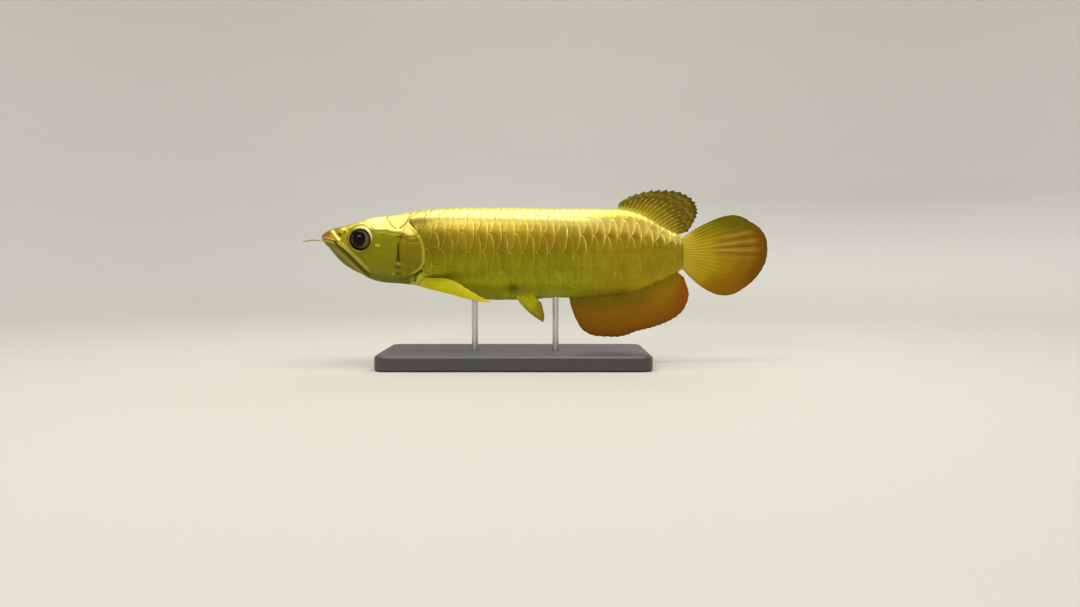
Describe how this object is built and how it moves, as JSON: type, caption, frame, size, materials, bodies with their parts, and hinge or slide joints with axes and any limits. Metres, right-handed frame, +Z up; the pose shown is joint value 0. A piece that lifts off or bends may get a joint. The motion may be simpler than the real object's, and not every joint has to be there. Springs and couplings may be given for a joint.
{
  "type": "asian arowana",
  "caption": "Still, life-size model of a golden asian arowana, a long flat-sided fish with big overlapping scales and chin barbels, held level over a flat display stand by short rods.",
  "frame": {"origin": "middle of the underside of the whole model's box, on the underside of the flat base", "axes": "+X runs along the fish from its snout to its tail, +Y to the fish's right side, +Z up; the fish's left side faces -Y"},
  "size_m": [0.312, 0.0864, 0.1178],
  "materials": {
    "skin": "gloss",
    "eye": "gloss",
    "fins": "satin",
    "barbels": "satin",
    "base": "matte",
    "rods": "satin"
  },
  "bodies": {
    "root": {"head": "skin", "lower_jaw": "skin", "gill_cover_left": "skin", "gill_cover_right": "skin", "eye_left": "eye", "eye_right": "eye", "barbel_left": "barbels", "barbel_right": "barbels", "trunk_front": "skin", "trunk_middle": "skin", "trunk_rear": "skin", "tail_peduncle": "skin", "fin_dorsal": "fins", "fin_anal": "fins", "fin_caudal": "fins", "fin_pectoral_left": "fins", "fin_pectoral_right": "fins", "fin_pelvic_left": "fins", "fin_pelvic_right": "fins", "stand_base": "base", "stand_rod_front": "rods", "stand_rod_rear": "rods"}
  },
  "joints": []
}
